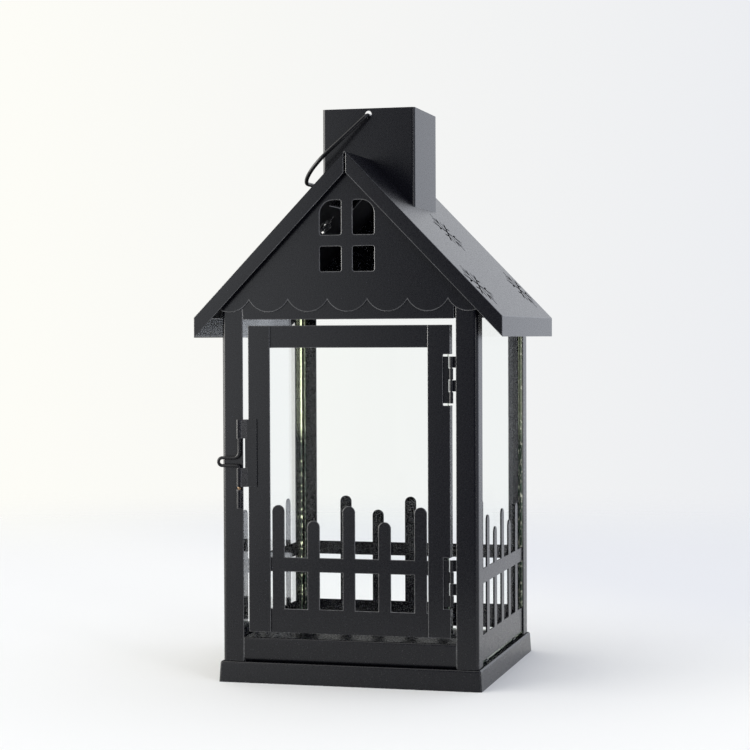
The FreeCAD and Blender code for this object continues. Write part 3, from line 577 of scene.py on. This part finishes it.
def ground_glass(name, glow):
    """The cut edge: green, frosted by grinding, with chips that scatter white.

    Its painted glow, for light led through the pane, fills it above a height and its chips below.
    """
    material, tree, shader = start_material(
        name, IOR=GROUND_INDEX, Roughness=GROUND_ROUGHNESS, Emission_Color=GLOW_COLOUR,
    )
    place = object_coordinates(tree)
    pits = noise(tree, place, CHIP_SCALE, CHIP_DETAIL)
    chips = ramp(tree, pits, CHIP_START, CHIP_FULL)
    fill(tree, shader.inputs["Base Color"], mix_colours(tree, chips, GREEN_DEPTH, CHIP_WHITE))
    fill(tree, shader.inputs["Transmission Weight"], ramp(tree, chips, 0.0, 1.0, GROUND_CLEAR, 0.0))
    # Painted glow: emission for light led through the pane, above a height and in the chips below.
    height = add_node(tree, "ShaderNodeSeparateXYZ", Vector=place).outputs["Z"]
    painted_glow_share = combine(tree, "MAXIMUM", ramp(tree, height, GLOW_LOW, GLOW_HIGH), chips)
    fill(tree, shader.inputs["Emission Strength"], combine(tree, "MULTIPLY", painted_glow_share, glow))
    rubbed = add_node(tree, "ShaderNodeBump", Height=pits, Strength=CHIP_RELIEF, Distance=CHIP_DEPTH)
    fill(tree, shader.inputs["Normal"], rubbed.outputs["Normal"])
    return material


clear_glass = window_glass("clear_glass", CLEAR_INDEX)
right_glass = window_glass("right_glass", RIGHT_INDEX)
left_glass = window_glass("left_glass", LEFT_INDEX)
ground_edge = ground_glass("ground_edge", GLOW_FAINT)
# The left pane's edge gets the strong painted glow.
lit_edge = ground_glass("lit_edge", GLOW_LIT)
pane_finishes = {
    "glass_right": [right_glass, ground_edge], "glass_back": [clear_glass, ground_edge],
    "glass_left": [left_glass, lit_edge], "door_glass": [clear_glass, ground_edge],
}
print("finishes for", len(pane_finishes), "panes")

# %% Panes
EDGE_STEP = 1.0 * MM
ARRIS, ARRIS_WANDER = 0.22 * MM, 0.14 * MM
ARRIS_LEAST, ARRIS_MOST = 0.06 * MM, 0.7 * MM


def wandering_arris(draw, count):
    """The mean arris plus noise smoothed over three neighbours, round a closed outline."""
    wander = draw.normal(size=count)
    wander = (np.roll(wander, 1) + wander + np.roll(wander, -1)) / 3
    return np.clip(ARRIS + ARRIS_WANDER * wander, ARRIS_LEAST, ARRIS_MOST)


def pane(name, node, seed):
    """A slab whose edge is a profile of four points carried round a rectangle.

    Going round, u and v run from 0 to 1 and back along the outline. Across the edge, the
    profile is stepped in by the arris at either face, and sits on the outline between them.
    """
    low, high = (np.array(corner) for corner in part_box(node))
    size = high - low
    thin = int(np.argmin(size))
    wide = 1 - thin
    across, along = (int(size[axis] / EDGE_STEP) for axis in (wide, 2))
    rise_u, rise_v = np.arange(across) / across, np.arange(along) / along
    u = np.concatenate([rise_u, np.ones(along), 1 - rise_u, np.zeros(along)])
    v = np.concatenate([np.zeros(across), rise_v, np.ones(across), 1 - rise_v])
    draw = np.random.default_rng(seed)
    outer, inner = wandering_arris(draw, len(u)), wandering_arris(draw, len(u))
    nothing = np.zeros(len(u))
    inset = np.stack([outer, nothing, nothing, inner])
    depth = np.stack([nothing, outer, size[thin] - inner, nothing + size[thin]])
    points = np.empty((4, len(u), 3))
    points[:, :, wide] = low[wide] + np.clip(u * size[wide], inset, size[wide] - inset)
    points[:, :, 2] = low[2] + np.clip(v * size[2], inset, size[2] - inset)
    points[:, :, thin] = low[thin] + depth
    strips = grid_faces(4, len(u), wrap_columns=True)
    ring = np.arange(len(u))
    flats = [ring[::-1], ring + 3 * len(u)]
    if thin == 1:
        strips, flats = strips[:, ::-1], [flat[::-1] for flat in flats]
    faces = [*strips, *flats]
    finish = np.repeat([1, 0], [len(strips), 2])
    made = make_mesh(name, points.reshape(-1, 3), faces, pane_finishes[node], finish)
    made.visible_shadow = False
    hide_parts(node)
    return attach(made, nodes[node]["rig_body"])


for seed, node in enumerate(("glass_right", "glass_back", "glass_left", "door_glass")):
    made = pane("pane_" + node.replace("glass_", "").replace("_glass", ""), node, seed)
    print(made.name, len(made.data.polygons), "faces")

# %% [markdown]
# ## Bent wire
#
# The bail and the latch bolt are wire, bent over a former and coated. A curve with a round
# bevel would do, but the path is simple enough to work out: straight runs, and an arc at
# each corner. A circle is carried along that path, and it shrinks to nothing over the last
# radius at each end, which gives the rounded tips of cropped and tumbled wire.

# %% Wire builder
WIRE_SIDES = 24
RUN_STEP, LEAST_STEP = 1.5 * MM, 0.001 * MM
ARC_STEPS = 14
TIP_START, TIP_STEPS, TIP_CLEAR = 0.12, 7, 1.05


def bent_path(corners, bends):
    """Straight runs whose inner corners are replaced by tangent arcs of the given radii."""
    corners = np.asarray(corners, float)
    marks = [corners[0]]
    stretches = []
    for before, corner, after, bend in zip(corners, corners[1:], corners[2:], bends):
        arrive = (corner - before) / np.linalg.norm(corner - before)
        leave = (after - corner) / np.linalg.norm(after - corner)
        half_turn = np.arccos(arrive @ leave) / 2
        inward = (leave - arrive) / np.linalg.norm(leave - arrive)
        onward = (leave + arrive) / np.linalg.norm(leave + arrive)
        centre = corner + inward * bend / np.cos(half_turn)
        swing = np.linspace(-half_turn, half_turn, ARC_STEPS + 1)[:, None]
        arc = centre - inward * bend * np.cos(swing) + onward * bend * np.sin(swing)
        stretches += [run_to(marks[-1], arc[0]), arc]
        marks.append(arc[-1])
    stretches.append(run_to(marks[-1], corners[-1]))
    path = np.concatenate(stretches + [corners[-1:]])
    keep = np.linalg.norm(np.diff(path, axis=0), axis=1) > LEAST_STEP
    return path[np.append(keep, True)]


def run_to(start, stop):
    """Even points from start up to, but not at, stop."""
    count = max(int(np.linalg.norm(stop - start) / RUN_STEP), 1)
    share = np.arange(count)[:, None] / count
    return start + (stop - start) * share


def round_tips(path, radius):
    """The path with closer points over its last radius at each end, and the wire's radius there."""
    reach = np.concatenate([[0], np.cumsum(np.linalg.norm(np.diff(path, axis=0), axis=1))])
    tip = radius * (1 - np.cos(np.linspace(TIP_START, np.pi / 2, TIP_STEPS)))
    inner = reach[(reach > radius * TIP_CLEAR) & (reach < reach[-1] - radius * TIP_CLEAR)]
    stations = np.concatenate([tip, inner, reach[-1] - tip[::-1]])
    points = np.stack([np.interp(stations, reach, path[:, axis]) for axis in range(3)], axis=1)
    from_tip = np.minimum(stations, reach[-1] - stations)
    share = np.clip(from_tip / radius, 0, 1)
    return points, radius * np.sqrt(1 - (1 - share) ** 2)


def bent_wire(name, path, plane_normal, radius, material):
    """A circle carried along a flat path: path + r (cos a * side + sin a * plane normal)."""
    path, radii = round_tips(path, radius)
    ahead = np.gradient(path, axis=0)
    ahead /= np.linalg.norm(ahead, axis=1)[:, None]
    out = np.asarray(plane_normal, float)
    side = np.cross(out, ahead)
    angle = np.arange(WIRE_SIDES) / WIRE_SIDES * 2 * np.pi
    ring = np.cos(angle)[None, :, None] * side[:, None, :] + np.sin(angle)[None, :, None] * out
    points = path[:, None, :] + radii[:, None, None] * ring
    faces = grid_faces(len(path), WIRE_SIDES, wrap_columns=True)
    first = np.arange(WIRE_SIDES)
    caps = [first, first[::-1] + (len(path) - 1) * WIRE_SIDES]
    return make_mesh(name, points.reshape(-1, 3), [*faces[:, ::-1], *caps], [material], smooth=True)


print("wire builder ready")

# %% [markdown]
# ## The bail
#
# The bail is one wire through two holes near the top of the chimney. Its legs lean outwards
# and two wide corners lead into the bar. It is drawn upright in the plane of the holes, and
# then laid over to the left about the line through them, as it rests in the picture.

# %% Bail
BAIL_WIRE = 2.1 * MM
BAIL_HEIGHT = 48.6 * MM
BAIL_SPLAY = 12.45 * MM
BAIL_CORNER = 18.0 * MM
BAIL_EAR = 2.6 * MM
BAIL_TAIL = 4.0 * MM
SHEET = 0.8 * MM
LAID_OVER = np.radians(-134)
WIRE_BLACK, WIRE_GRAIN = (0.0045, 0.0045, 0.0055, 1.0), (0.02, 0.02, 0.022, 1.0)
WIRE_ROUGHNESS = 0.28

bail_axis = next(joint for joint in frame["joints"] if joint["name"] == "bail_swing")["pos_m"][2]
chimney_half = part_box("chimney")[1].y
tail = chimney_half - SHEET - BAIL_TAIL
ear, shoulder = chimney_half + BAIL_EAR, chimney_half + BAIL_SPLAY
upright = np.array([
    (0, -tail, 0), (0, -ear, 0), (0, -shoulder, BAIL_HEIGHT),
    (0, shoulder, BAIL_HEIGHT), (0, ear, 0), (0, tail, 0),
])
path = bent_path(upright, [BAIL_EAR, BAIL_CORNER, BAIL_CORNER, BAIL_EAR])
lay = np.array(Matrix.Rotation(LAID_OVER, 3, "Y"))
path = path @ lay.T + [0, 0, bail_axis]
wire_coat = powder_coat("wire_coat", WIRE_BLACK, WIRE_GRAIN, WIRE_ROUGHNESS)
bail = bent_wire("bail_wire", path, lay @ [1.0, 0.0, 0.0], BAIL_WIRE / 2, wire_coat)
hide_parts("bail")
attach(bail, "bail")
print("bail", len(bail.data.polygons), "faces, axis at", round(bail_axis / MM, 2), "mm")

# %% [markdown]
# ## The latch bolt
#
# The bolt is a wire too: a shank through two sleeves and down into the keeper, with a hairpin
# bent out to the left as its handle. It takes its places from the solid that it stands for.
# Where the shank slides in the lower sleeve the coat is rubbed through to brownish steel, so
# its material mixes bare metal into the coat, over that height and in broken patches.

# %% Latch bolt
BOLT_WIRE = 1.6 * MM
HANDLE_RISE, HANDLE_SPREAD = 17.0 * MM, 3.9 * MM
HANDLE_BEND, HANDLE_CROOK = 1.3 * MM, 3.0 * MM
RUBBED_LOW, RUBBED_HIGH = 95.5 * MM, 99.0 * MM
SCRATCH_SCALE, SCRATCH_DETAIL, SCRATCH_START, SCRATCH_FULL = 1500.0, 3.0, 0.38, 0.52
BARE_STEEL = (0.34, 0.22, 0.12, 1.0)


def rubbed_wire(name):
    """Wire coat whose base colour and metal come through over a height, broken up by noise."""
    material = wire_coat.copy()
    material.name = name
    tree = material.node_tree
    shader = tree.nodes["Principled BSDF"]
    place = object_coordinates(tree)
    height = add_node(tree, "ShaderNodeSeparateXYZ", Vector=place).outputs["Z"]
    middle, reach = (RUBBED_LOW + RUBBED_HIGH) / 2, (RUBBED_HIGH - RUBBED_LOW) / 2
    away = combine(tree, "ABSOLUTE", combine(tree, "SUBTRACT", height, middle))
    near = ramp(tree, away, reach, reach / 3)
    scratches = noise(tree, place, SCRATCH_SCALE, SCRATCH_DETAIL)
    broken = ramp(tree, scratches, SCRATCH_START, SCRATCH_FULL)
    bare = combine(tree, "MULTIPLY", near, broken)
    coat = shader.inputs["Base Color"].links[0].from_socket
    fill(tree, shader.inputs["Base Color"], mix_colours(tree, bare, coat, BARE_STEEL))
    fill(tree, shader.inputs["Metallic"], bare)
    return material


bolt_low, bolt_high = (np.array(corner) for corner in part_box("latch_bolt"))
shank, loop = bolt_high[0] - BOLT_WIRE / 2, bolt_low[0] + BOLT_WIRE / 2
bolt_y = (bolt_low[1] + bolt_high[1]) / 2
lower_leg = bolt_low[2] + HANDLE_RISE
upper_leg = lower_leg + HANDLE_SPREAD
route = np.array([
    (shank, bolt_y, bolt_low[2]), (shank, bolt_y, lower_leg), (loop, bolt_y, lower_leg),
    (loop, bolt_y, upper_leg), (shank, bolt_y, upper_leg), (shank, bolt_y, bolt_high[2]),
])
path = bent_path(route, [HANDLE_BEND, HANDLE_SPREAD / 2, HANDLE_SPREAD / 2, HANDLE_CROOK])
bolt = bent_wire("bolt_wire", path, (0.0, 1.0, 0.0), BOLT_WIRE / 2, rubbed_wire("rubbed_wire"))
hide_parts("latch_bolt")
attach(bolt, "latch_bolt")
print("bolt", len(bolt.data.polygons), "faces")
